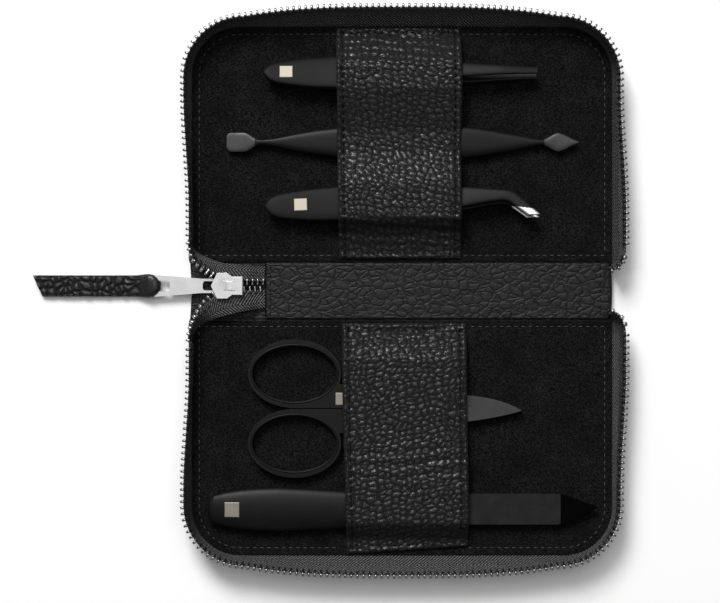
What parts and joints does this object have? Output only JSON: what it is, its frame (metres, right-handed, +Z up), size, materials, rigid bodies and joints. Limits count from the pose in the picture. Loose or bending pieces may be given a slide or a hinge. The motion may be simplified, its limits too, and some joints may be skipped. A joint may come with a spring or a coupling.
{
  "type": "manicure set case",
  "caption": "Zip-around leather manicure case lying open, its nail tools held under two leather bands, with a zip slider, pull and leather tab.",
  "frame": {"origin": "middle of the outer face of the spine, on the surface that the open case rests on", "axes": "+X along the spine towards the end away from the zip slider, +Y towards the half that holds the tweezers, +Z up out of the linings"},
  "size_m": [0.1982, 0.1899, 0.013],
  "materials": {
    "outer_leather": "pebbled black calf leather",
    "band_leather": "pebbled black calf leather with cut edges",
    "patch_leather": "finer grained black leather",
    "tab_leather": "pebbled black leather strap",
    "suede": "black microfibre suede lining",
    "board": "thin stiffening board",
    "zip_fabric": "black woven zip tape",
    "nickel_teeth": "nickel plated zip teeth",
    "nickel": "satin nickel casting",
    "black_steel": "matte black coated steel",
    "grit": "black grit-coated steel with a glossy tip"
  },
  "bodies": {
    "spine": {"spine_leather": "outer_leather", "spine_board": "board", "spine_patch": "patch_leather", "zip_end_tape": "zip_fabric", "zip_end_teeth": "nickel_teeth", "upper_zip_tail": "zip_fabric", "upper_tail_teeth": "nickel_teeth", "lower_zip_tail": "zip_fabric", "lower_tail_teeth": "nickel_teeth"},
    "upper_half": {"upper_leather": "outer_leather", "upper_board": "board", "upper_lining": "suede", "upper_zip_tape": "zip_fabric", "upper_zip_teeth": "nickel_teeth", "upper_top_stop": "nickel_teeth", "upper_band": "band_leather"},
    "lower_half": {"lower_leather": "outer_leather", "lower_board": "board", "lower_lining": "suede", "lower_zip_tape": "zip_fabric", "lower_zip_teeth": "nickel_teeth", "lower_top_stop": "nickel_teeth", "lower_band": "band_leather"},
    "slider": {"slider_body": "nickel"},
    "pull": {"zip_pull": "nickel"},
    "tab": {"pull_tab": "tab_leather"},
    "tweezers": {"tweezers_lower_arm": "black_steel"},
    "tweezers_arm": {"tweezers_upper_arm": "black_steel"},
    "cuticle_tool": {"cuticle_tool": "black_steel"},
    "angled_tweezers": {"angled_tweezers_lower_arm": "black_steel"},
    "angled_tweezers_arm": {"angled_tweezers_upper_arm": "black_steel"},
    "scissors": {"scissors_lower_half": "black_steel", "scissors_screw": "black_steel"},
    "scissors_arm": {"scissors_upper_half": "black_steel"},
    "nail_file": {"file_handle": "black_steel", "file_blade": "grit"}
  },
  "joints": [
    {"name": "fold_upper", "type": "hinge", "parent": "spine", "child": "upper_half", "pos_m": [0, 0.0095, 0.0025], "axis": [1, 0, 0], "range_deg": [0, 90], "deforming": ["upper_zip_tail", "upper_tail_teeth"]},
    {"name": "fold_lower", "type": "hinge", "parent": "spine", "child": "lower_half", "pos_m": [0, -0.0095, 0.0025], "axis": [-1, 0, 0], "range_deg": [0, 90], "deforming": ["lower_zip_tail", "lower_tail_teeth"]},
    {"name": "zip_slide", "type": "slide", "parent": "spine", "child": "slider", "axis": [1, 0, 0], "range_m": [0, 0.0065], "deforming": ["zip_end_tape", "zip_end_teeth"]},
    {"name": "pull_swing", "type": "hinge", "parent": "slider", "child": "pull", "pos_m": [-0.0602, 0.0017, 0.0032], "axis": [0, 1, 0], "range_deg": [-6, 5]},
    {"name": "tab_swing", "type": "hinge", "parent": "pull", "child": "tab", "pos_m": [-0.08269, 0.0017, 0.0025], "axis": [0, 1, 0], "range_deg": [-30, 75]},
    {"name": "tweezers_slide", "type": "slide", "parent": "upper_half", "child": "tweezers", "axis": [1, 0, 0], "range_m": [-0.02, 0.02]},
    {"name": "tweezers_squeeze", "type": "hinge", "parent": "tweezers", "child": "tweezers_arm", "pos_m": [-0.03055, 0.07211, 0.00715], "axis": [0, 0.9511, -0.309], "range_deg": [0, 2.4], "stiffness_Nm_per_rad": 1.5},
    {"name": "cuticle_tool_slide", "type": "slide", "parent": "upper_half", "child": "cuticle_tool", "axis": [1, 0, 0], "range_m": [-0.009, 0.009]},
    {"name": "angled_tweezers_slide", "type": "slide", "parent": "upper_half", "child": "angled_tweezers", "axis": [0.9991, 0.0419, 0], "range_m": [-0.019, 0.019]},
    {"name": "angled_tweezers_squeeze", "type": "hinge", "parent": "angled_tweezers", "child": "angled_tweezers_arm", "pos_m": [-0.03006, 0.02845, 0.00653], "axis": [-0.0408, 0.9735, -0.225], "range_deg": [0, 1.9], "stiffness_Nm_per_rad": 1.5},
    {"name": "scissors_slide", "type": "slide", "parent": "lower_half", "child": "scissors", "axis": [1, 0, 0], "range_m": [-0.018, 0]},
    {"name": "scissors_pivot", "type": "hinge", "parent": "scissors", "child": "scissors_arm", "pos_m": [0.0143, -0.039, 0.0043], "axis": [0, 0, -1], "range_deg": [0, 4]},
    {"name": "nail_file_slide", "type": "slide", "parent": "lower_half", "child": "nail_file", "axis": [1, 0, 0], "range_m": [-0.003, 0.003]}
  ]
}
